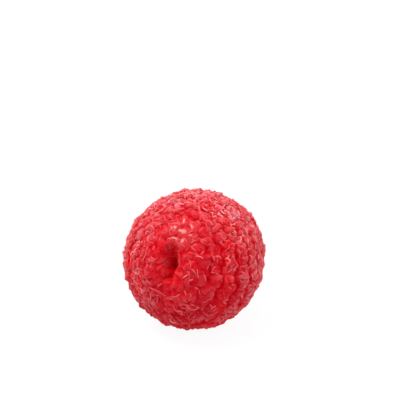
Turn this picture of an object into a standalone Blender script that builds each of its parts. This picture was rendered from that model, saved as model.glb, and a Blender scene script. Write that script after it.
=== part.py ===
"""A picked raspberry lying on its side: one body of drupelets round the hollow that the receptacle left.

Metres, +Z up. The tip points to -Y and a little up, and the hollow opens to +Y and a little down.
The surface is a turned meridian that runs from the tip, over the rim and on to the end of the hollow.
Each drupelet is one cell of a triangulation of centres set out in rows on it, raised as a dome.
"""

import math
import random

import bmesh
import bpy
from mathutils import Matrix, Vector

# Meridian, measured at the bottom of the creases between drupelets
BODY_RADIUS = 0.0103
TIP_REACH = 0.0098
RIM_REACH = 0.0095
RIM_RADIUS = 0.0056
THROAT_RADIUS = 0.0041
THROAT_REACH = 0.0063
HOLLOW_END = 0.0046
QUARTER_STEPS = 240

# The dimple at the tip, narrower across than up and down
TIP_DIMPLE_DEPTH = 0.0030
TIP_DIMPLE_WIDTH = 0.0011
TIP_DIMPLE_HEIGHT = 0.0023
TIP_END_SHARE = 0.3

# Drupelets: (share of the way along the meridian, value) pairs, read with straight lines between them
DRUPELET_WIDTHS = [(0.0, 0.0019), (0.14, 0.0018), (0.23, 0.0014), (0.5, 0.0012), (1.0, 0.0012)]
ROW_STEPS = [(0.0, 0.0018), (0.12, 0.0021), (0.22, 0.0026), (0.55, 0.0026), (0.68, 0.0027), (1.0, 0.0029)]
ROW_TURN = 0.6
DOME_HEIGHTS = [(0.0, 0.0009), (0.55, 0.0009), (0.64, 0.0006), (0.72, 0.0003), (1.0, 0.0002)]
FIRST_ROW = 0.0013
LAST_ROW = 0.0008
FEWEST_IN_ROW = 4
DOME_SPREAD_ALONG = 1.08
DOME_SPREAD_ACROSS = 1.25
DOME_FLOOR = 0.2
INNER_RING = 0.62
ROW_STRAIGHTNESS = 0.7
JITTER = 0.2
SEED = 7

# How it lies
TIP_LIFT = math.radians(23.0)
MOUTH_DROP = math.radians(8.0)
BEND_START = -0.002
ROLL = math.radians(-90.0)
FLAT_DEPTH = 0.00042

BERRY_COLOUR = (0.62, 0.014, 0.028, 1.0)
BERRY_ROUGHNESS = 0.42


def clear_scene():
    for obj in list(bpy.data.objects):
        bpy.data.objects.remove(obj)


def read_along(pairs, share):
    """The value at a share of the way along the meridian."""
    for (low, first), (high, second) in zip(pairs, pairs[1:]):
        if share <= high:
            return first + (second - first) * (share - low) / (high - low)
    return pairs[-1][1]


def smooth(value):
    value = min(1.0, max(0.0, value))
    return value * value * (3.0 - 2.0 * value)


def quarter(centre, radii, start, end):
    """Points (radius, reach) of a quarter ellipse, without the last one."""
    points = []
    for step in range(QUARTER_STEPS):
        angle = math.radians(start + (end - start) * step / QUARTER_STEPS)
        points.append((centre[0] + radii[0] * math.cos(angle), centre[1] + radii[1] * math.sin(angle)))
    return points


def meridian():
    """The turned outline as (radius, reach towards the tip) points, from the tip to the hollow's end."""
    lip = (RIM_RADIUS - THROAT_RADIUS, RIM_REACH - THROAT_REACH)
    points = quarter((0.0, 0.0), (BODY_RADIUS, TIP_REACH), 90, 0)
    points += quarter((RIM_RADIUS, 0.0), (BODY_RADIUS - RIM_RADIUS, RIM_REACH), 0, -90)
    points += quarter((RIM_RADIUS, -THROAT_REACH), lip, 270, 180)
    points += quarter((0.0, -THROAT_REACH), (THROAT_RADIUS, THROAT_REACH + HOLLOW_END), 0, 90)
    points.append((0.0, HOLLOW_END))
    return [Vector(point) for point in points]


def tip_dimple(x, z):
    return TIP_DIMPLE_DEPTH * math.exp(-((x / TIP_DIMPLE_WIDTH) ** 2) - (z / TIP_DIMPLE_HEIGHT) ** 2)


def share_of(direction):
    """Share of the way along the meridian that a direction of the unit sphere stands for."""
    return math.acos(max(-1.0, min(1.0, -direction.y))) / math.pi


def direction_at(share, turn):
    polar = share * math.pi
    return Vector((math.sin(polar) * math.cos(turn), -math.cos(polar), math.sin(polar) * math.sin(turn)))


class Surface:
    """The turned surface, read by directions of a unit sphere whose pole is the tip."""

    def __init__(self):
        self.points = meridian()
        self.lengths = [0.0]
        for first, second in zip(self.points, self.points[1:]):
            self.lengths.append(self.lengths[-1] + (second - first).length)
        self.total = self.lengths[-1]

    def at_share(self, share):
        """Point and outward normal of the meridian at a share of its length."""
        length = share * self.total
        low, high = 0, len(self.lengths) - 1
        while high - low > 1:
            middle = (low + high) // 2
            if self.lengths[middle] <= length:
                low = middle
            else:
                high = middle
        along = (length - self.lengths[low]) / (self.lengths[high] - self.lengths[low])
        tangent = (self.points[high] - self.points[low]).normalized()
        return self.points[low].lerp(self.points[high], along), Vector((-tangent.y, tangent.x))

    def raised(self, direction, height):
        """The point over this direction, raised by height, before the berry is laid down."""
        share = share_of(direction)
        point, normal = self.at_share(share)
        around = Vector((direction.x, 0.0, direction.z)).normalized()
        raised = around * (point.x + normal.x * height)
        raised.y = -point.y - normal.y * height
        if share < TIP_END_SHARE:
            raised.y += tip_dimple(raised.x, raised.z)
        return raised


def drupelet_centres(surface):
    """Unit directions of the drupelets' centres, row after row from the tip to the end of the hollow."""
    rng = random.Random(SEED)
    centres = []
    length, first_turn = FIRST_ROW, ROLL
    while length < surface.total - LAST_ROW:
        share = length / surface.total
        point, normal = surface.at_share(share)
        crest = point.x + normal.x * read_along(DOME_HEIGHTS, share)
        count = max(FEWEST_IN_ROW, round(2 * math.pi * crest / read_along(DRUPELET_WIDTHS, share)))
        step = read_along(ROW_STEPS, share)
        first_turn += ROW_TURN * 2 * math.pi / count
        for index in range(count):
            turn = first_turn + 2 * math.pi * (index + rng.uniform(-JITTER, JITTER)) / count
            moved = length + rng.uniform(-JITTER, JITTER) * step
            centres.append(direction_at(moved / surface.total, turn))
        length += step
    return centres


class Drupelet:
    """One cell: its centre, the widths of its outline and the dome that stands on it."""

    def __init__(self, centre, corners):
        self.centre = centre
        self.along = (Vector((0.0, 1.0, 0.0)) - centre * centre.y).normalized()
        self.across = centre.cross(self.along)
        self.width_along = math.sqrt(2 * sum(self.along.dot(c) ** 2 for c in corners) / len(corners))
        self.width_across = math.sqrt(2 * sum(self.across.dot(c) ** 2 for c in corners) / len(corners))
        self.height = read_along(DOME_HEIGHTS, share_of(centre))

    def bearing(self, direction):
        return math.atan2(self.across.dot(direction), self.along.dot(direction))

    def dome(self, direction):
        along = self.along.dot(direction) / (self.width_along * DOME_SPREAD_ALONG)
        across = self.across.dot(direction) / (self.width_across * DOME_SPREAD_ACROSS)
        return self.height * math.sqrt(max(DOME_FLOOR**2, 1.0 - along**2 - across**2))


def laid_down(point):
    """Tips the berry to the way it lies: the mouth drops a little and the tip is lifted more."""
    share = smooth((-point.y - BEND_START) / (TIP_REACH - BEND_START))
    lift = MOUTH_DROP + (TIP_LIFT - MOUTH_DROP) * share
    return Matrix.Rotation(-lift, 3, "X") @ point


def triangulated(directions):
    """A closed net of triangles between unit directions, as the convex hull that they all lie on."""
    net = bmesh.new()
    for direction in directions:
        net.verts.new(direction)
    bmesh.ops.convex_hull(net, input=net.verts)
    net.verts.index_update()
    net.faces.index_update()
    return net


def corner_of(face):
    """Direction of the corner where three drupelets meet: near the point as far from each of their centres."""
    first, second, third = [v.co for v in face.verts]
    middle = (first + second + third).normalized()
    even = (second - first).cross(third - first).normalized()
    if even.dot(middle) < 0.0:
        even.negate()
    return middle.lerp(even, ROW_STRAIGHTNESS).normalized()


def face_between(first, second):
    return (set(first.link_faces) & set(second.link_faces)).pop()


def berry_mesh():
    surface = Surface()
    net = triangulated(drupelet_centres(surface))
    corner = [corner_of(face) for face in net.faces]
    cells = [Drupelet(v.co.copy(), [corner[f.index] for f in v.link_faces]) for v in net.verts]

    mesh = bmesh.new()
    corner_verts = []
    for face in net.faces:
        height = sum(cells[v.index].dome(corner[face.index]) for v in face.verts) / len(face.verts)
        corner_verts.append(mesh.verts.new(laid_down(surface.raised(corner[face.index], height))))
    for vert, cell in zip(net.verts, cells):
        top = mesh.verts.new(laid_down(surface.raised(cell.centre, cell.height)))
        edges = sorted(vert.link_edges, key=lambda edge: cell.bearing(edge.other_vert(vert).co))
        ring = []
        for edge in edges:
            middle = sum((corner[f.index] for f in edge.link_faces), Vector()).normalized()
            direction = cell.centre.lerp(middle, INNER_RING).normalized()
            ring.append(mesh.verts.new(laid_down(surface.raised(direction, cell.dome(direction)))))
        for index, edge in enumerate(edges):
            following = (index + 1) % len(edges)
            ahead = corner_verts[face_between(edge, edges[following]).index]
            behind = corner_verts[face_between(edge, edges[index - 1]).index]
            mesh.faces.new((top, ring[index], ring[following]))
            mesh.faces.new((ring[index], ahead, ring[following]))
            mesh.faces.new((ring[index], behind, ahead))
    net.free()
    bmesh.ops.recalc_face_normals(mesh, faces=mesh.faces)
    return mesh


def set_down(mesh):
    """Flattens the lowest drupelets on the surface and centres the berry over the origin."""
    lowest = min(v.co.z for v in mesh.verts)
    for v in mesh.verts:
        v.co.z = max(0.0, v.co.z - lowest - FLAT_DEPTH)
    for axis in (0, 1):
        middle = (min(v.co[axis] for v in mesh.verts) + max(v.co[axis] for v in mesh.verts)) / 2
        for v in mesh.verts:
            v.co[axis] -= middle


def berry_material():
    material = bpy.data.materials.new("berry_skin")
    material.use_nodes = True
    shader = material.node_tree.nodes["Principled BSDF"]
    shader.inputs["Base Color"].default_value = BERRY_COLOUR
    shader.inputs["Roughness"].default_value = BERRY_ROUGHNESS
    shader.inputs["Metallic"].default_value = 0.0
    return material


def make_raspberry():
    collection = bpy.data.collections.new("raspberry")
    bpy.context.scene.collection.children.link(collection)
    mesh = berry_mesh()
    set_down(mesh)
    data = bpy.data.meshes.new("raspberry")
    mesh.to_mesh(data)
    mesh.free()
    data.materials.append(berry_material())
    data.shade_smooth()
    berry = bpy.data.objects.new("raspberry", data)
    collection.objects.link(berry)
    return berry


clear_scene()
make_raspberry()
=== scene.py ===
import math
import random

import bmesh
import bpy
import numpy as np
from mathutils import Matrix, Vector, noise
from mathutils.bvhtree import BVHTree


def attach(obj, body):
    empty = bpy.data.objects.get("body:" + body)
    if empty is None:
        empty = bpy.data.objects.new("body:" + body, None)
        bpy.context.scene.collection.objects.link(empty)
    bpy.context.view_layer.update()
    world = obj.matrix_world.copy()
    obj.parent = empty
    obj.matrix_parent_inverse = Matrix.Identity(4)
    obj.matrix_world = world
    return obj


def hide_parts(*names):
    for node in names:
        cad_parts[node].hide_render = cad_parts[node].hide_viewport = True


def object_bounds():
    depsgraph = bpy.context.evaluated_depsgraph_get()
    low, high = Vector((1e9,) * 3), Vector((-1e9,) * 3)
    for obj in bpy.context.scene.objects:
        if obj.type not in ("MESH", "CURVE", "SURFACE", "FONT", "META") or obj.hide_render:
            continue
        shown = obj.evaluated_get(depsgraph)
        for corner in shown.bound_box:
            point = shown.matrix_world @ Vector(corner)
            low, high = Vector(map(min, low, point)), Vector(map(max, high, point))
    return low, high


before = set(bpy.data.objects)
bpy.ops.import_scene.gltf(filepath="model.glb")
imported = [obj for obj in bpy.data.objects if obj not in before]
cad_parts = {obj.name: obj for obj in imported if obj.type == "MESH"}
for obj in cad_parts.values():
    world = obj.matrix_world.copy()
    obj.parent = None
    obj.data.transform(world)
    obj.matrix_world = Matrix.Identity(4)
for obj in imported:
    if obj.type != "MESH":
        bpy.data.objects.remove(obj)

cad_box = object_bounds()

# The berry's form, as its solid has it

BODY_RADIUS = 0.0103
TIP_REACH = 0.0098
RIM_REACH = 0.0095
RIM_RADIUS = 0.0056
THROAT_RADIUS = 0.0041
THROAT_REACH = 0.0063
HOLLOW_END = 0.0046
QUARTER_STEPS = 240
TIP_DIMPLE_DEPTH = 0.0030
TIP_DIMPLE_WIDTH = 0.0011
TIP_DIMPLE_HEIGHT = 0.0023
TIP_END_SHARE = 0.3

DRUPELET_WIDTHS = [(0.0, 0.0019), (0.14, 0.0018), (0.23, 0.0014), (0.5, 0.0012), (1.0, 0.0012)]
ROW_STEPS = [(0.0, 0.0018), (0.12, 0.0021), (0.22, 0.0026), (0.55, 0.0026), (0.68, 0.0027), (1.0, 0.0029)]
ROW_TURN = 0.6
DOME_HEIGHTS = [(0.0, 0.0009), (0.55, 0.0009), (0.64, 0.0006), (0.72, 0.0003), (1.0, 0.0002)]
FIRST_ROW = 0.0013
LAST_ROW = 0.0008
FEWEST_IN_ROW = 4
DOME_SPREAD_ALONG = 1.08
DOME_SPREAD_ACROSS = 1.25
DOME_FLOOR = 0.2
ROW_STRAIGHTNESS = 0.7
JITTER = 0.2
SEED = 7

TIP_LIFT = math.radians(23.0)
MOUTH_DROP = math.radians(8.0)
BEND_START = -0.002
ROLL = math.radians(-90.0)
FLAT_DEPTH = 0.00042

# What the skin has beyond the solid: domes that are flatter, uneven and pushed together

DOME_FLATNESS = 1.2
WET_FLATNESS = 1.5
SIDE_BY_SIDE = 1.12
CREASE_RISES = [(0.0, 0.58), (0.12, 0.55), (0.25, 0.47), (0.34, 0.38), (1.0, 0.4)]
LEAN = 0.2
SIZE_SPREAD = 0.05
HEIGHT_SPREAD = 0.18

# Its net of points: cuts along each side of a drupelet, and rings between its top and its outline

SIDE_CUTS = 4
RINGS = (0.2, 0.4, 0.58, 0.73, 0.85, 0.94)

# Grooves round the drupelets, deepest between the rows at the two sides of the berry

GROOVE_DEPTH = 0.00012
ROW_GROOVE = 2.3
ROWS_ON_TOP = 0.35
ROWS_START = 0.1
ROWS_BLEND = 0.1
CORNER_ROW = 0.6
NEIGHBOUR_GROOVE = 0.3
GROOVE_FALL = 4.5
NEIGHBOUR_RELIEF = 0.3
RELIEF_FALL = 2.0

# Wrinkles, ragged creases and blotches, and how much calmer they are in the hollow and on wet skin

WRINKLE_SCALE = 900.0
WRINKLE_DEPTH = 0.0004
WRINKLE_OCTAVES = 2
RAGGED_SCALE = 620.0
RAGGED_SHIFT = 0.00034
FINE_RAGGED_SCALE = 2.3
FINE_RAGGED_SHARE = 0.5
BLOTCH_SCALE = 240.0
BLOTCH_CONTRAST = 0.8
BLOTCH_TINT = 0.7
CELL_TINT = 0.3
CREASE_TINT = 0.5
HOLLOW_SHARE = 0.66
HOLLOW_BLEND = 0.05
HOLLOW_CALM = 0.8
HOLLOW_WRINKLE_CALM = 0.7
WET_WRINKLE_CALM = 0.85
OUTWARD_STEP = 0.001
LOOK_SEED = 31

# Where the skin is rubbed bare, wet or sunk at the tip, and where it is low near the ground: thinner hair
# there, and painted shade

BARE_CENTRE = (0.19, -0.98, 0.04)
BARE_COVER = 0.25
BARE_ANGLE = math.radians(22.0)
BARE_BLEND = math.radians(32.0)
BARE_RAGGED = math.radians(20.0)
BARE_RAGGED_SCALE = 4.5
WET_CENTRE = (0.08, -0.925, 0.37)
WET_ANGLE = math.radians(6.5)
WET_BLEND = math.radians(6.0)
PIT_WIDTH = 0.00055
PIT_HEIGHT = 0.0024
PIT_DEPTH = 0.00035
UNDER_COVER = 0.15
UNDER_HEIGHT = 0.014
UNDER_SHADE = 0.8

# Short hairs

HAIRS = 9500
HAIR_LENGTHS = (0.00018, 0.00034)
HAIR_SHORTNESS = 3
HAIR_SIDE_GAIN = 0.5
HAIR_RADIUS = 0.000016
HAIR_RELIEF = 0.45
HAIR_END_IN_HOLLOW = 0.2
HAIR_SCATTER = 0.4
HAIR_LEAN = 0.45
HAIR_ROOT = 0.00003

# Strands of all kinds: where they may lie, and the spindle that each one is

STRAND_RELIEF = 0.32
STRANDS_FROM = 0.065
STRANDS_TO = HOLLOW_SHARE - 0.08
STRAND_ROOT = 0.00004
STRAND_THINNING = 1.1
TRIES_PER_SPOT = 12
WIDEST_SPREAD = 1.3
CLEAR_OF_GROUND = 0.0003
RAY_HEIGHT = 0.003
LEAST_TURN_RADIUS = 0.002
END_SWELL = 0.2
END_MARGIN = 0.08
SWELL_POWER = 0.7

# Fine curled hairs

CURL_COUNT = 560
CURL_LENGTHS = (0.0005, 0.0013)
CURL_BENDS = (500.0, 2600.0)
CURL_LIFTS = (0.00002, 0.00012)
CURL_RADIUS = 0.000068
CURL_WIDTHS = (0.6, 1.3)
CURL_THICKNESS = 0.55
CURL_SHADE_FALL = 0.3
CURL_POINTS = 8
CURL_SIDES = 4

# Tufts of matted felt

FLAKE_COUNT = 1700
FLAKE_LENGTHS = (0.0005, 0.0011)
FLAKE_BEND = 1600.0
FLAKE_LIFTS = (0.00001, 0.00006)
FLAKE_WIDTHS = (0.00007, 0.00018)
FLAKE_THICKNESS = 0.35
FLAKE_POINTS = 5
FLAKE_SIDES = 6

# Dried styles

STYLE_CHANCE = 0.2
STYLE_LENGTHS = (0.0007, 0.0014)
STYLE_BEND = 2400.0
STYLE_LIFT = 0.00018
STYLE_RADIUS = 0.000085
STYLE_WIDTHS = (0.7, 1.25)
STYLE_POINTS = 9
STYLE_SIDES = 5

# Colours

HAIR_DARK, HAIR_LIGHT = (0.62, 0.12, 0.15), (0.74, 0.27, 0.31)
FLAKE_DARK, FLAKE_LIGHT = (0.56, 0.055, 0.065), (0.79, 0.26, 0.28)
CURL_DARK, CURL_LIGHT = (0.64, 0.06, 0.06), (0.84, 0.28, 0.285)
STYLE_DARK, STYLE_LIGHT = (0.64, 0.07, 0.07), (0.80, 0.24, 0.22)
# painted shade: the flesh is a darker red in the creases between the drupelets
CREASE_SHADE_COLOUR = (0.42, 0.0008, 0.0035)
CREST_COLOUR = (0.47, 0.0012, 0.006)
CREST_POSITION = 0.6
# the darker ripe red, mixed in at random per drupelet and in blotches, and as painted shade near the ground
RIPE_AND_SHADE_COLOUR = (0.35, 0.001, 0.007)
# the pale felt, also used for the painted sheen where the skin is viewed edge-on
FELT_AND_SHEEN_COLOUR = (0.63, 0.27, 0.31)
HOLLOW_COLOUR = (0.48, 0.004, 0.009)
# painted shade: the darker red of the tip's pit
PIT_SHADE_COLOUR = (0.42, 0.0005, 0.002)
SHADE_START = 0.45

# Skin finish: noise as (scale, detail), ranges as (from, to, value at from, value at to)
# and bumps as (strength, distance)

FELT_LINES = (1300.0, 2.0)
GLOSS_PATCHES = (260.0, 1.0)
FELT_HAZE = (430.0, 1.0)
SKIN_GRAIN = (5200.0, 3.0)
FIBRE_NOISE = (800.0, 1.0)
SHEEN_BLEND = 0.5
CREST_RANGE = (0.08, 0.4, 0.0, 1.0)
LINE_RANGE = (0.4, 0.95, 0.42, 1.3)
FOLD_RANGE = (0.2, 0.5, 0.1, 1.0)
SHEEN_RANGE = (0.1, 0.6, 0.35, 1.0)
HAZE_RANGE = (0.35, 0.65, 0.35, 1.6)
ROUGHNESS_RANGE = (0.4, 0.6, 0.6, 0.42)
COAT_RANGE = (0.0, 0.8, 0.1, 1.0)
GRAIN_BUMP = (0.35, 0.00006)
FELT_BUMP = (0.9, 0.00022)
COAT_IOR = 1.38
COAT_ROUGHNESS = 0.2
FLESH_WEIGHT = 0.8
FLESH_RADIUS = (1.0, 0.12, 0.08)
FLESH_DEPTH = 0.0009
FIBRE_ROUGHNESS = 0.6

# Floor and light

FLOOR_HALF = 3.0
FLOOR_COLOUR = (0.07, 0.07, 0.07)
FLOOR_GLOW = 0.915
FLOOR_ROUGHNESS = 0.8
FLOOR_GLOSS = 0.1
WORLD_STRENGTH = 1.24
LIGHT_TARGET = (0.0, 0.0, 0.011)
SOFTBOXES = [
    ("overhead_softbox", (-0.20, -0.15, 0.58), 0.26, 3.1),
    ("side_softbox", (0.40, -0.22, 0.30), 0.4, 0.8),
]

# The photograph's view

CAMERA_AZIMUTH = math.radians(22.0)
CAMERA_ELEVATION = math.radians(27.0)
CAMERA_DISTANCE = 0.3165
CAMERA_LENS = 169.0
CAMERA_NEAR = 0.01
AIM_RIGHT = 0.00273
AIM_UP = 0.0081


def read_along(pairs, share):
    shares, values = zip(*pairs)
    return np.interp(share, shares, values)


def smooth(value):
    value = np.clip(value, 0.0, 1.0)
    return value * value * (3.0 - 2.0 * value)


def quarter(centre, radii, start, end):
    angles = np.radians(start + (end - start) * np.arange(QUARTER_STEPS) / QUARTER_STEPS)
    return np.column_stack([centre[0] + radii[0] * np.cos(angles), centre[1] + radii[1] * np.sin(angles)])


def meridian():
    """The turned outline as (radius, reach towards the tip) rows, from the tip to the hollow's end."""
    lip = (RIM_RADIUS - THROAT_RADIUS, RIM_REACH - THROAT_REACH)
    return np.concatenate(
        [
            quarter((0.0, 0.0), (BODY_RADIUS, TIP_REACH), 90, 0),
            quarter((RIM_RADIUS, 0.0), (BODY_RADIUS - RIM_RADIUS, RIM_REACH), 0, -90),
            quarter((RIM_RADIUS, -THROAT_REACH), lip, 270, 180),
            quarter((0.0, -THROAT_REACH), (THROAT_RADIUS, THROAT_REACH + HOLLOW_END), 0, 90),
            [(0.0, HOLLOW_END)],
        ]
    )


def shares_of(directions):
    """Share of the way along the meridian that each direction of the unit sphere stands for."""
    return np.arccos(np.clip(-directions[:, 1], -1.0, 1.0)) / math.pi


def direction_at(share, turn):
    polar = share * math.pi
    return np.array([math.sin(polar) * math.cos(turn), -math.cos(polar), math.sin(polar) * math.sin(turn)])


def unit(rows):
    return rows / np.linalg.norm(rows, axis=-1, keepdims=True)


class Surface:
    """The turned surface, read by directions of a unit sphere whose pole is the tip."""

    def __init__(self):
        self.points = meridian()
        steps = np.diff(self.points, axis=0)
        self.lengths = np.concatenate([[0.0], np.cumsum(np.linalg.norm(steps, axis=1))])
        self.total = self.lengths[-1]
        self.tangents = unit(steps)

    def at_shares(self, shares):
        """Points and outward normals of the meridian at shares of its length."""
        lengths = shares * self.total
        step = np.clip(np.searchsorted(self.lengths, lengths, side="right") - 1, 0, len(self.tangents) - 1)
        points = np.column_stack([np.interp(lengths, self.lengths, self.points[:, i]) for i in (0, 1)])
        tangents = self.tangents[step]
        return points, np.column_stack([-tangents[:, 1], tangents[:, 0]])

    def pit(self, directions):
        """How deep in the tip's narrow pit each direction lies, from 0 to 1."""
        shares = shares_of(directions)
        x, z = (unit(directions[:, [0, 2]]) * self.at_shares(shares)[0][:, :1]).T
        depth = np.exp(-((x / PIT_WIDTH) ** 2) - (z / PIT_HEIGHT) ** 2)
        return np.where(shares < TIP_END_SHARE, depth, 0.0)

    def raised(self, directions, heights):
        """The points over these directions, raised by heights, with the berry laid down."""
        shares = shares_of(directions)
        points, normals = self.at_shares(shares)
        around = unit(directions[:, [0, 2]])
        radius = points[:, 0] + normals[:, 0] * heights
        x, z = around[:, 0] * radius, around[:, 1] * radius
        dimple = TIP_DIMPLE_DEPTH * np.exp(-((x / TIP_DIMPLE_WIDTH) ** 2) - (z / TIP_DIMPLE_HEIGHT) ** 2)
        y = -points[:, 1] - normals[:, 1] * heights + np.where(shares < TIP_END_SHARE, dimple, 0.0)
        lift = MOUTH_DROP + (TIP_LIFT - MOUTH_DROP) * smooth((-y - BEND_START) / (TIP_REACH - BEND_START))
        laid_y = y * np.cos(lift) + z * np.sin(lift)
        return np.column_stack([x, laid_y, z * np.cos(lift) - y * np.sin(lift)])


def drupelet_centres(surface):
    """Unit directions of the drupelets' centres, row after row from the tip to the end of the hollow."""
    rng = random.Random(SEED)
    centres = []
    length, first_turn = FIRST_ROW, ROLL
    while length < surface.total - LAST_ROW:
        share = length / surface.total
        points, normals = surface.at_shares(np.array([share]))
        crest = points[0, 0] + normals[0, 0] * read_along(DOME_HEIGHTS, share)
        count = max(FEWEST_IN_ROW, round(2 * math.pi * crest / read_along(DRUPELET_WIDTHS, share)))
        step = read_along(ROW_STEPS, share)
        first_turn += ROW_TURN * 2 * math.pi / count
        for index in range(count):
            turn = first_turn + 2 * math.pi * (index + rng.uniform(-JITTER, JITTER)) / count
            moved = length + rng.uniform(-JITTER, JITTER) * step
            centres.append(direction_at(moved / surface.total, turn))
        length += step
    return centres


def hollowness(directions):
    """How far inside the hollow each direction lies, from 0 to 1."""
    return smooth((shares_of(directions) - HOLLOW_SHARE) / HOLLOW_BLEND)


def wetness(directions):
    """How wet the skin is: full on a few drupelets just above the tip, and none elsewhere."""
    apart = np.arccos(np.clip(directions @ unit(np.array(WET_CENTRE)), -1.0, 1.0))
    return 1.0 - smooth((apart - WET_ANGLE) / WET_BLEND)


class Drupelet:
    """One cell: its centre, the widths of its outline and the dome that stands on it."""

    def __init__(self, centre, corners, rng):
        self.centre = centre
        along = np.array([0.0, 1.0, 0.0]) - centre * centre[1]
        self.along = along / np.linalg.norm(along)
        self.across = np.cross(centre, self.along)
        size = 1.0 + rng.uniform(-SIZE_SPREAD, SIZE_SPREAD)
        self.width_along = math.sqrt(2 * np.mean((corners @ self.along) ** 2)) * DOME_SPREAD_ALONG * size
        self.width_across = math.sqrt(2 * np.mean((corners @ self.across) ** 2)) * DOME_SPREAD_ACROSS * size
        self.width_across *= SIDE_BY_SIDE
        wet = wetness(centre[None])[0]
        self.lean = [rng.uniform(-LEAN, LEAN) * (1.0 - wet) for _ in range(2)]
        self.share = float(shares_of(centre[None])[0])
        uneven = 1.0 + rng.uniform(-HEIGHT_SPREAD, HEIGHT_SPREAD)
        self.height = float(read_along(DOME_HEIGHTS, self.share)) * uneven
        self.tint = rng.random()
        self.flatness = DOME_FLATNESS + (WET_FLATNESS - DOME_FLATNESS) * wet
        self.crease_rise = float(read_along(CREASE_RISES, self.share))

    def bearing(self, direction):
        return math.atan2(np.dot(direction, self.across), np.dot(direction, self.along))

    def dome(self, directions):
        along = directions @ self.along / self.width_along - self.lean[0]
        across = directions @ self.across / self.width_across - self.lean[1]
        fall = (along**2 + across**2) ** self.flatness
        rise = self.crease_rise
        return self.height * (rise + (1.0 - rise) * np.sqrt(np.maximum(DOME_FLOOR**2, 1.0 - fall)))


def ragged_at(place):
    """Noise of two sizes that moves a point sideways, so that no crease runs straight."""
    return noise.noise_vector(place) + FINE_RAGGED_SHARE * noise.noise_vector(place * FINE_RAGGED_SCALE)


def corner_of(face):
    """Direction of the corner where three drupelets meet: near the point as far from each centre."""
    middle = sum((v.co for v in face.verts), Vector()).normalized()
    first, second, third = [v.co for v in face.verts]
    even = (second - first).cross(third - first).normalized()
    if even.dot(middle) < 0.0:
        even.negate()
    return middle.lerp(even, ROW_STRAIGHTNESS)


def set_values(data, name, values):
    data.attributes.new(name, "FLOAT", "POINT").data.foreach_set("value", np.array(values, np.float32))


def point_values(data, name):
    values = np.empty(len(data.vertices), np.float32)
    data.attributes[name].data.foreach_get("value", values)
    return values


def face_values(data, name, width):
    values = np.empty(len(data.polygons) * width)
    data.polygons.foreach_get(name, values)
    return values.reshape(-1, width)


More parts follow.
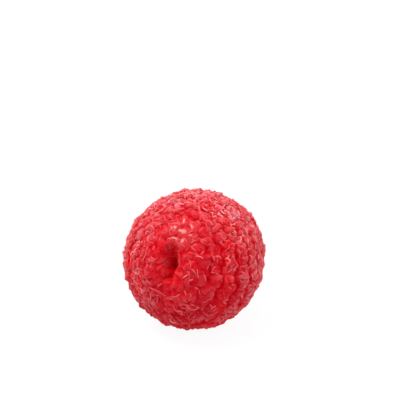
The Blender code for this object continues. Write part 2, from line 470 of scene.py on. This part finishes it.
class Skin:
    """The fine mesh of the whole berry, with every crease shared by the two drupelets beside it."""

    def __init__(self):
        self.surface = Surface()
        self.directions = []
        self.heights = []
        self.relief = []
        self.tints = []
        self.rows = []
        self.faces = []
        self.build()

    def add(self, directions, heights, relief, tint):
        first = len(self.directions)
        self.directions.extend(directions)
        self.heights.extend(heights)
        self.relief.extend(relief)
        self.tints.extend([tint] * len(directions))
        return list(range(first, first + len(directions)))

    def build(self):
        rng = random.Random(LOOK_SEED)
        net = bmesh.new()
        for direction in drupelet_centres(self.surface):
            net.verts.new(direction)
        bmesh.ops.convex_hull(net, input=net.verts)
        net.verts.index_update()
        net.edges.index_update()
        net.faces.index_update()
        corner = unit(np.array([corner_of(face) for face in net.faces]))
        self.cells = [
            Drupelet(np.array(v.co), corner[[face.index for face in v.link_faces]], rng) for v in net.verts
        ]
        corner_ids = []
        for face in net.faces:
            direction = corner[face.index][None]
            height = np.mean([self.cells[v.index].dome(direction)[0] for v in face.verts])
            corner_ids += self.add(direction, self.grooved(direction, height, 1.0), [0.0], CREASE_TINT)
            self.rows.append(CORNER_ROW)
        creases = {}
        for edge in net.edges:
            first, second = [face.index for face in edge.link_faces]
            shares = np.arange(1, SIDE_CUTS)[:, None] / SIDE_CUTS
            directions = unit(corner[first] * (1 - shares) + corner[second] * shares)
            sides = [self.cells[v.index] for v in edge.verts]
            height = np.mean([cell.dome(directions) for cell in sides], axis=0)
            between_rows = self.row_share(*sides)
            strength = NEIGHBOUR_GROOVE + (ROW_GROOVE - NEIGHBOUR_GROOVE) * between_rows
            swell = 1.0 + (strength - 1.0) * np.sin(math.pi * shares[:, 0])
            relief = [NEIGHBOUR_RELIEF * (1.0 - between_rows)] * len(directions)
            ids = self.add(directions, self.grooved(directions, height, swell), relief, CREASE_TINT)
            self.rows += [between_rows] * len(directions)
            creases[first, second] = ids
            creases[second, first] = ids[::-1]
        for vert in net.verts:
            self.add_cell(vert, corner_ids, creases)
        net.free()

    def row_share(self, first, second):
        """How much the crease between two drupelets divides two rows: less on top and underneath."""
        apart = unit(second.centre - first.centre)
        sideways = abs(first.centre[0]) / math.hypot(first.centre[0], first.centre[2])
        between = abs(apart @ first.along) * smooth((first.share - ROWS_START) / ROWS_BLEND)
        return between * (ROWS_ON_TOP + (1.0 - ROWS_ON_TOP) * sideways**2)

    def grooved(self, directions, heights, strength):
        """Heights lowered by the groove, which fades away inside the hollow."""
        return heights - GROOVE_DEPTH * strength * (1.0 - HOLLOW_CALM * hollowness(directions))

    def add_cell(self, vert, corner_ids, creases):
        cell = self.cells[vert.index]
        around = sorted(vert.link_faces, key=lambda face: cell.bearing(face.calc_center_median()))
        border = []
        for face, following in zip(around, around[1:] + around[:1]):
            border += [corner_ids[face.index]] + creases[face.index, following.index]
        edge_directions = np.array([self.directions[i] for i in border])
        edge_heights = np.array([self.heights[i] for i in border])
        edge_domes = cell.dome(edge_directions)
        edge_relief = np.array([self.relief[i] for i in border])
        edge_rows = np.array([self.rows[i] for i in border])
        rings = []
        for share in RINGS:
            directions = unit(cell.centre * (1 - share) + edge_directions * share)
            pull = share**GROOVE_FALL
            heights = cell.dome(directions) + (edge_heights - edge_domes) * pull
            relief = 1.0 - share ** (RELIEF_FALL - edge_rows) * (1.0 - edge_relief)
            rings.append(self.add(directions, heights, relief, cell.tint))
        top = self.add(cell.centre[None], cell.dome(cell.centre[None]), [1.0], cell.tint)[0]
        rings.append(border)
        for index in range(len(border)):
            ahead = (index + 1) % len(border)
            self.faces.append((top, rings[0][ahead], rings[0][index]))
            for inner, outer in zip(rings, rings[1:]):
                self.faces.append((inner[index], inner[ahead], outer[ahead], outer[index]))

    def sideways_shift(self, directions, smooth_points):
        """The ragged shift of each point, with what would raise or sink it taken out."""
        ragged = np.array([ragged_at(Vector(p) * RAGGED_SCALE) for p in smooth_points])
        step = np.full(len(directions), OUTWARD_STEP)
        outward = unit(self.surface.raised(directions, step) - smooth_points)
        ragged -= outward * np.sum(ragged * outward, axis=1, keepdims=True)
        return ragged * RAGGED_SHIFT * (1.0 - HOLLOW_CALM * hollowness(directions))[:, None]

    def mesh(self):
        directions = np.array(self.directions)
        inside = hollowness(directions)
        wet = wetness(directions)
        pit = self.surface.pit(directions)
        smooth_points = self.surface.raised(directions, np.zeros(len(directions)))
        places = [Vector(p) for p in smooth_points]
        wrinkles = np.array([noise.turbulence(p * WRINKLE_SCALE, WRINKLE_OCTAVES, True) for p in places])
        calm = (1.0 - HOLLOW_WRINKLE_CALM * inside) * (1.0 - WET_WRINKLE_CALM * wet)
        heights = np.array(self.heights) + (wrinkles - 0.5) * WRINKLE_DEPTH * calm - pit * PIT_DEPTH
        points = self.surface.raised(directions, heights) + self.sideways_shift(directions, smooth_points)
        self.drop = points[:, 2].min() + FLAT_DEPTH
        points[:, 2] = np.maximum(0.0, points[:, 2] - self.drop)
        self.shift = -(points[:, :2].min(axis=0) + points[:, :2].max(axis=0)) / 2
        points[:, :2] += self.shift
        data = bpy.data.meshes.new("raspberry_skin")
        data.from_pydata(points.tolist(), [], self.faces)
        turned = bmesh.new()
        turned.from_mesh(data)
        bmesh.ops.recalc_face_normals(turned, faces=turned.faces)
        turned.to_mesh(data)
        turned.free()
        cover = hair_cover(directions, points[:, 2])
        blotches = np.array([0.5 + BLOTCH_CONTRAST * noise.noise(p * BLOTCH_SCALE) for p in places])
        # painted shade: darker towards the ground, by mixing more of the ripe red into the tint there
        under = UNDER_SHADE * (1.0 - smooth(points[:, 2] / UNDER_HEIGHT))
        named = {
            "relief": self.relief,
            "tint": CELL_TINT * np.array(self.tints) + BLOTCH_TINT * blotches + under,
            "inside": inside,
            "wrinkle": wrinkles,
            "cover": cover * (1.0 - wet) * (1.0 - pit),
            "wet": wet,
            "pit": pit,
        }
        for name, values in named.items():
            set_values(data, name, values)
        data.shade_smooth()
        return data


def piece(name, data, material):
    data.materials.append(material)
    obj = bpy.data.objects.new(name, data)
    bpy.context.scene.collection.objects.link(obj)
    return obj


def principled(name):
    material = bpy.data.materials.new(name)
    material.use_nodes = True
    tree = material.node_tree
    return material, tree.nodes, tree.links, tree.nodes["Principled BSDF"]


def attribute(nodes, name):
    node = nodes.new("ShaderNodeAttribute")
    node.attribute_name = name
    return node.outputs["Fac"]


def ranged(nodes, links, value, low, high, to_low, to_high):
    node = nodes.new("ShaderNodeMapRange")
    node.inputs["From Min"].default_value = low
    node.inputs["From Max"].default_value = high
    node.inputs["To Min"].default_value = to_low
    node.inputs["To Max"].default_value = to_high
    links.new(value, node.inputs["Value"])
    return node.outputs["Result"]


def product(nodes, links, first, second):
    node = nodes.new("ShaderNodeMath")
    node.operation = "MULTIPLY"
    links.new(first, node.inputs[0])
    links.new(second, node.inputs[1])
    return node.outputs["Value"]


def mixed(nodes, links, factor, base, colour):
    """The colour of a socket, mixed towards a fixed colour by factor."""
    node = nodes.new("ShaderNodeMix")
    node.data_type = "RGBA"
    node.inputs["B"].default_value = (*colour, 1.0)
    links.new(factor, node.inputs["Factor"])
    links.new(base, node.inputs["A"])
    return node.outputs["Result"]


def bumped(nodes, links, height, strength, distance, normal=None):
    node = nodes.new("ShaderNodeBump")
    node.inputs["Strength"].default_value = strength
    node.inputs["Distance"].default_value = distance
    links.new(height, node.inputs["Height"])
    if normal:
        links.new(normal, node.inputs["Normal"])
    return node.outputs["Normal"]


def noise_of(nodes, links, scale, detail, kind="FBM"):
    place = nodes.new("ShaderNodeTexCoord")
    node = nodes.new("ShaderNodeTexNoise")
    node.noise_type = kind
    node.inputs["Scale"].default_value = scale
    node.inputs["Detail"].default_value = detail
    links.new(place.outputs["Object"], node.inputs["Vector"])
    return node.outputs["Fac"]


def skin_material():
    """Juicy red flesh under a thin felt that is pale on the crests, with a painted sheen that makes it
    paler where the skin is viewed edge-on, and painted shade in the creases, the pit and near the ground.
    """
    material, nodes, links, shader = principled("raspberry_skin")
    names = ("relief", "tint", "inside", "wrinkle", "cover", "wet", "pit")
    relief, tint, inside, wrinkle, cover, wet, pit = [attribute(nodes, name) for name in names]
    felt_lines = noise_of(nodes, links, *FELT_LINES, "RIDGED_MULTIFRACTAL")
    patches = noise_of(nodes, links, *GLOSS_PATCHES)
    haze = noise_of(nodes, links, *FELT_HAZE)
    grain = noise_of(nodes, links, *SKIN_GRAIN)

    # painted shade: the flesh ramp runs from a darker red in the creases to the crest colour
    flesh = nodes.new("ShaderNodeValToRGB")
    flesh.color_ramp.elements[0].color = (*CREASE_SHADE_COLOUR, 1.0)
    flesh.color_ramp.elements[1].color = (*CREST_COLOUR, 1.0)
    flesh.color_ramp.elements[1].position = CREST_POSITION
    links.new(relief, flesh.inputs["Fac"])
    colour = mixed(nodes, links, tint, flesh.outputs["Color"], RIPE_AND_SHADE_COLOUR)

    # painted sheen: the felt's pale colour grows where the skin is viewed edge-on
    sheen_angle = nodes.new("ShaderNodeLayerWeight")
    sheen_angle.inputs["Blend"].default_value = SHEEN_BLEND
    crest = ranged(nodes, links, relief, *CREST_RANGE)
    lines = ranged(nodes, links, felt_lines, *LINE_RANGE)
    folds = ranged(nodes, links, wrinkle, *FOLD_RANGE)
    painted_sheen = ranged(nodes, links, sheen_angle.outputs["Facing"], *SHEEN_RANGE)
    thick = ranged(nodes, links, haze, *HAZE_RANGE)
    # the felt's mask also carries the painted sheen
    felt = crest
    for part in (lines, folds, painted_sheen, cover, thick):
        felt = product(nodes, links, felt, part)
    colour = mixed(nodes, links, felt, colour, FELT_AND_SHEEN_COLOUR)
    colour = mixed(nodes, links, inside, colour, HOLLOW_COLOUR)
    # painted shade in the tip's pit
    colour = mixed(nodes, links, pit, colour, PIT_SHADE_COLOUR)
    links.new(colour, shader.inputs["Base Color"])

    fine_normal = bumped(nodes, links, grain, *GRAIN_BUMP)
    links.new(bumped(nodes, links, felt_lines, *FELT_BUMP, fine_normal), shader.inputs["Normal"])
    links.new(ranged(nodes, links, patches, *ROUGHNESS_RANGE), shader.inputs["Roughness"])
    juicy = product(nodes, links, crest, ranged(nodes, links, wet, *COAT_RANGE))
    links.new(juicy, shader.inputs["Coat Weight"])
    shader.inputs["Coat IOR"].default_value = COAT_IOR
    shader.inputs["Coat Roughness"].default_value = COAT_ROUGHNESS
    shader.inputs["Specular IOR Level"].default_value = 0.0
    shader.inputs["Subsurface Weight"].default_value = FLESH_WEIGHT
    shader.inputs["Subsurface Radius"].default_value = FLESH_RADIUS
    shader.inputs["Subsurface Scale"].default_value = FLESH_DEPTH
    return material


def fibre_material(name, dark, light, shade_name=None):
    """Dull plant fibre, each strand of its own shade."""
    material, nodes, links, shader = principled(name)
    shade = attribute(nodes, shade_name) if shade_name else noise_of(nodes, links, *FIBRE_NOISE)
    ramp = nodes.new("ShaderNodeValToRGB")
    ramp.color_ramp.elements[0].color = (*dark, 1.0)
    ramp.color_ramp.elements[0].position = SHADE_START
    ramp.color_ramp.elements[1].color = (*light, 1.0)
    links.new(shade, ramp.inputs["Fac"])
    links.new(ramp.outputs["Color"], shader.inputs["Base Color"])
    shader.inputs["Roughness"].default_value = FIBRE_ROUGHNESS
    shader.inputs["Specular IOR Level"].default_value = 0.0
    return material


def hair_cover(directions, heights):
    """How much of the hair is left: the tip is rubbed nearly bare on one side, and it thins out below."""
    apart = np.arccos(np.clip(directions @ unit(np.array(BARE_CENTRE)), -1.0, 1.0))
    apart += BARE_RAGGED * np.array([noise.noise(Vector(d) * BARE_RAGGED_SCALE) for d in directions])
    off_tip = BARE_COVER + (1.0 - BARE_COVER) * smooth((apart - BARE_ANGLE) / BARE_BLEND)
    return off_tip * (UNDER_COVER + (1.0 - UNDER_COVER) * smooth(heights / UNDER_HEIGHT))


def hair_weights(data):
    """Chance of a hair, area, centre and normal of each face: none in the hollow or near the ground."""
    centres = face_values(data, "center", 3)
    areas = face_values(data, "area", 1)[:, 0]
    first_vert = np.array([polygon.vertices[0] for polygon in data.polygons])
    outside = point_values(data, "inside")[first_vert] < HAIR_END_IN_HOLLOW
    on_crest = point_values(data, "relief")[first_vert] > HAIR_RELIEF
    keep = outside & on_crest & (centres[:, 2] > CLEAR_OF_GROUND)
    weights = np.where(keep, areas * point_values(data, "cover")[first_vert], 0.0)
    return weights / weights.sum(), areas, centres, face_values(data, "normal", 3)


def hairs_mesh(skin):
    """Short tapered hairs, each a closed three-sided spike with its root sunk in the skin."""
    rng = np.random.default_rng(LOOK_SEED)
    weights, areas, centres, normals = hair_weights(skin)
    chosen = rng.choice(len(weights), HAIRS, p=weights)
    spread = np.sqrt(areas[chosen])[:, None] * rng.uniform(-HAIR_SCATTER, HAIR_SCATTER, (HAIRS, 3))
    normal = normals[chosen]
    spread -= normal * np.sum(spread * normal, axis=1, keepdims=True)
    root = centres[chosen] + spread
    lean = unit(normal + rng.normal(0.0, HAIR_LEAN, (HAIRS, 3)))
    shortest, longest = HAIR_LENGTHS
    length = shortest + (longest - shortest) * rng.random((HAIRS, 1)) ** HAIR_SHORTNESS
    length *= 1.0 + HAIR_SIDE_GAIN * (1.0 - np.abs(normal[:, 2:]))
    side = unit(np.cross(lean, rng.normal(0.0, 1.0, (HAIRS, 3))))
    other = np.cross(lean, side)
    base = root - lean * HAIR_ROOT
    verts = np.empty((HAIRS, 4, 3))
    for corner in range(3):
        angle = 2 * math.pi * corner / 3
        verts[:, corner] = base + (side * math.cos(angle) + other * math.sin(angle)) * HAIR_RADIUS
    verts[:, 3] = root + lean * length
    verts[..., 2] = np.maximum(verts[..., 2], 0.0)
    first = np.arange(HAIRS)[:, None] * 4
    triangles = np.concatenate([first + np.array(t) for t in ((0, 2, 1), (0, 1, 3), (1, 2, 3), (2, 0, 3))])
    data = bpy.data.meshes.new("raspberry_hairs")
    data.from_pydata(verts.reshape(-1, 3).tolist(), [], triangles.tolist())
    return data


class Strands:
    """Curved strands that lie over the drupelets: each a closed spindle, widest at its middle."""

    def __init__(self, skin, data):
        self.skin = skin
        places = [v.co for v in data.vertices]
        self.tree = BVHTree.FromPolygons(places, [tuple(p.vertices) for p in data.polygons])
        self.scale = skin.surface.total / math.pi
        relief = np.array(skin.relief)
        self.relief = [relief[list(p.vertices)].mean() for p in data.polygons]
        self.verts = []
        self.faces = []
        self.shades = []

    def path(self, direction, length, curl, heading, count, lift):
        """Points, outward directions and relief below: the root is sunk in the skin, the middle lifted."""
        step = length / (count - 1)
        points, outs, relief = [], [], []
        for index in range(count):
            along = np.array([0.0, 1.0, 0.0]) - direction * direction[1]
            along /= np.linalg.norm(along)
            across = np.cross(direction, along)
            ends = np.array([direction, direction])
            low, high = self.skin.surface.raised(ends, np.array([0.0, RAY_HEIGHT]))
            for end in (low, high):
                end[2] -= self.skin.drop
                end[:2] += self.skin.shift
            out = Vector(high - low).normalized()
            hit, _, face, _ = self.tree.ray_cast(Vector(high), -out)
            surface_point = hit if hit is not None else Vector(low)
            relief.append(self.relief[face] if hit is not None else 0.0)
            rise = lift * math.sin(math.pi * index / (count - 1)) ** 2 if index else -STRAND_ROOT
            points.append(surface_point + out * rise)
            outs.append(out)
            from_axis = math.hypot(*self.skin.surface.at_shares(shares_of(direction[None]))[0][0])
            radius = max(LEAST_TURN_RADIUS, from_axis)
            bend = heading + curl * step * index
            turned = along * math.cos(bend) / self.scale + across * math.sin(bend) / radius
            direction = direction + turned * step
            direction /= np.linalg.norm(direction)
        return points, outs, sum(relief) / count

    def add(self, points, outs, width, thickness, sides, shade):
        if min(point.z for point in points) < CLEAR_OF_GROUND:
            return
        first = len(self.verts)
        count = len(points)
        for index, (point, out) in enumerate(zip(points, outs)):
            tangent = (points[min(index + 1, count - 1)] - points[max(index - 1, 0)]).normalized()
            side = tangent.cross(out).normalized()
            up = side.cross(tangent)
            along = END_MARGIN + (1.0 - 2 * END_MARGIN) * index / (count - 1)
            swell = END_SWELL + (1.0 - END_SWELL) * math.sin(math.pi * along) ** SWELL_POWER
            for corner in range(sides):
                angle = 2 * math.pi * corner / sides
                flat = side * (math.cos(angle) * width * swell) + up * (math.sin(angle) * thickness * swell)
                self.verts.append(tuple(point + flat))
        self.shades += [shade] * (count * sides)
        for ring in range(count - 1):
            low = first + ring * sides
            for corner in range(sides):
                ahead = (corner + 1) % sides
                self.faces.append((low + corner, low + ahead, low + sides + ahead, low + sides + corner))
        self.faces.append(tuple(first + corner for corner in reversed(range(sides))))
        self.faces.append(tuple(first + (count - 1) * sides + corner for corner in range(sides)))

    def mesh(self, name):
        mesh = bpy.data.meshes.new(name)
        mesh.from_pydata(self.verts, [], self.faces)
        set_values(mesh, "shade", self.shades)
        mesh.shade_smooth()
        return mesh


def styles_mesh(skin, data):
    """The dried styles, one on about a fifth of the drupelets outside the hollow."""
    rng = random.Random(LOOK_SEED)
    strands = Strands(skin, data)
    for cell in skin.cells:
        if cell.share > STRANDS_TO or rng.random() > STYLE_CHANCE or cell.share < STRANDS_FROM:
            continue
        length, heading = rng.uniform(*STYLE_LENGTHS), rng.uniform(-math.pi, math.pi)
        curl = rng.uniform(-STYLE_BEND, STYLE_BEND)
        points, outs, _ = strands.path(cell.centre.copy(), length, curl, heading, STYLE_POINTS, STYLE_LIFT)
        width = STYLE_RADIUS * rng.uniform(*STYLE_WIDTHS)
        strands.add(points, outs, width, width, STYLE_SIDES, rng.random())
    return strands.mesh("raspberry_styles")


def spots_on_skin(skin, count, seed):
    """Unit directions spread evenly over the outside, thinned towards the tip and the underside."""
    rng = np.random.default_rng(seed)
    directions = unit(rng.normal(size=(count * TRIES_PER_SPOT, 3)))
    shares = shares_of(directions)
    points, _ = skin.surface.at_shares(shares)
    even = points[:, 0] / (BODY_RADIUS * np.sin(shares * math.pi) * WIDEST_SPREAD)
    heights = skin.surface.raised(directions, np.zeros(len(directions)))[:, 2] - skin.drop
    cover = hair_cover(directions, heights)
    kept = rng.random(len(directions)) < even * cover**STRAND_THINNING
    kept &= (shares < STRANDS_TO) & (shares > STRANDS_FROM)
    return list(zip(directions[kept], cover[kept]))[:count]


def curls_mesh(skin, data):
    """Fine curled hairs that lie over the drupelets and the creases between them."""
    rng = random.Random(LOOK_SEED + 1)
    strands = Strands(skin, data)
    for direction, cover in spots_on_skin(skin, CURL_COUNT, LOOK_SEED + 2):
        length, heading = rng.uniform(*CURL_LENGTHS), rng.uniform(-math.pi, math.pi)
        curl = rng.choice((-1, 1)) * rng.uniform(*CURL_BENDS)
        lift = rng.uniform(*CURL_LIFTS)
        points, outs, relief = strands.path(direction, length, curl, heading, CURL_POINTS, lift)
        if relief < STRAND_RELIEF:
            continue
        width = CURL_RADIUS * rng.uniform(*CURL_WIDTHS)
        # each curl's tone is random, and darker where the hair cover is thin: towards the bare tip, and
        # near the ground as painted shade
        shade = rng.random() * cover**CURL_SHADE_FALL
        strands.add(points, outs, width, width * CURL_THICKNESS, CURL_SIDES, shade)
    return strands.mesh("raspberry_curls")


def flakes_mesh(skin, data):
    """Short matted tufts of felt: broad, flat and low."""
    rng = random.Random(LOOK_SEED + 3)
    strands = Strands(skin, data)
    for direction, cover in spots_on_skin(skin, FLAKE_COUNT, LOOK_SEED + 4):
        length, heading = rng.uniform(*FLAKE_LENGTHS), rng.uniform(-math.pi, math.pi)
        curl = rng.uniform(-FLAKE_BEND, FLAKE_BEND)
        lift = rng.uniform(*FLAKE_LIFTS)
        points, outs, relief = strands.path(direction, length, curl, heading, FLAKE_POINTS, lift)
        if relief < STRAND_RELIEF:
            continue
        width = rng.uniform(*FLAKE_WIDTHS)
        # each tuft's tone is random, and darker where the hair cover is thin: towards the bare tip, and
        # near the ground as painted shade
        strands.add(points, outs, width, width * FLAKE_THICKNESS, FLAKE_SIDES, rng.random() * cover)
    return strands.mesh("raspberry_felt")


def make_floor():
    half = FLOOR_HALF
    data = bpy.data.meshes.new("floor")
    corners = [(-half, -half, 0), (half, -half, 0), (half, half, 0), (-half, half, 0)]
    data.from_pydata(corners, [], [(0, 1, 2, 3)])
    material, _, _, shader = principled("floor_white")
    shader.inputs["Base Color"].default_value = (*FLOOR_COLOUR, 1.0)
    shader.inputs["Roughness"].default_value = FLOOR_ROUGHNESS
    shader.inputs["Specular IOR Level"].default_value = FLOOR_GLOSS
    shader.inputs["Emission Color"].default_value = (1.0, 1.0, 1.0, 1.0)
    shader.inputs["Emission Strength"].default_value = FLOOR_GLOW
    piece("floor", data, material)


def make_light(name, position, size, watts):
    light = bpy.data.lights.new(name, "AREA")
    light.shape = "DISK"
    light.size = size
    light.energy = watts
    obj = bpy.data.objects.new(name, light)
    obj.location = position
    obj.rotation_euler = (Vector(LIGHT_TARGET) - Vector(position)).to_track_quat("-Z", "Y").to_euler()
    bpy.context.scene.collection.objects.link(obj)


def make_lighting():
    world = bpy.data.worlds.new("studio")
    world.use_nodes = True
    world.node_tree.nodes["Background"].inputs["Color"].default_value = (1.0, 1.0, 1.0, 1.0)
    world.node_tree.nodes["Background"].inputs["Strength"].default_value = WORLD_STRENGTH
    bpy.context.scene.world = world
    bpy.context.scene.view_settings.view_transform = "Standard"
    for softbox in SOFTBOXES:
        make_light(*softbox)


def make_camera(box):
    low, high = box
    centre = (Vector(low) + Vector(high)) / 2
    sin_az, cos_az = math.sin(CAMERA_AZIMUTH), math.cos(CAMERA_AZIMUTH)
    sin_el, cos_el = math.sin(CAMERA_ELEVATION), math.cos(CAMERA_ELEVATION)
    back = Vector((sin_az * cos_el, -cos_az * cos_el, sin_el))
    right = Vector((cos_az, sin_az, 0.0))
    up = back.cross(right)
    camera = bpy.data.cameras.new("camera")
    camera.lens = CAMERA_LENS
    camera.clip_start = CAMERA_NEAR
    obj = bpy.data.objects.new("camera", camera)
    obj.location = centre + right * AIM_RIGHT + up * AIM_UP + back * CAMERA_DISTANCE
    obj.rotation_euler = (-back).to_track_quat("-Z", "Y").to_euler()
    bpy.context.scene.collection.objects.link(obj)
    bpy.context.scene.camera = obj


noise.seed_set(LOOK_SEED)

make_camera(cad_box)
make_floor()
make_lighting()

skin = Skin()
skin_data = skin.mesh()
hair = fibre_material("pale_hair", HAIR_DARK, HAIR_LIGHT)
felt = fibre_material("felt", FLAKE_DARK, FLAKE_LIGHT, "shade")
curl = fibre_material("curl", CURL_DARK, CURL_LIGHT, "shade")
style = fibre_material("style", STYLE_DARK, STYLE_LIGHT, "shade")
pieces = [
    piece("raspberry_skin", skin_data, skin_material()),
    piece("raspberry_hairs", hairs_mesh(skin_data), hair),
    piece("raspberry_felt", flakes_mesh(skin, skin_data), felt),
    piece("raspberry_curls", curls_mesh(skin, skin_data), curl),
    piece("raspberry_styles", styles_mesh(skin, skin_data), style),
]
for obj in pieces:
    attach(obj, "root")
    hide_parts("raspberry")
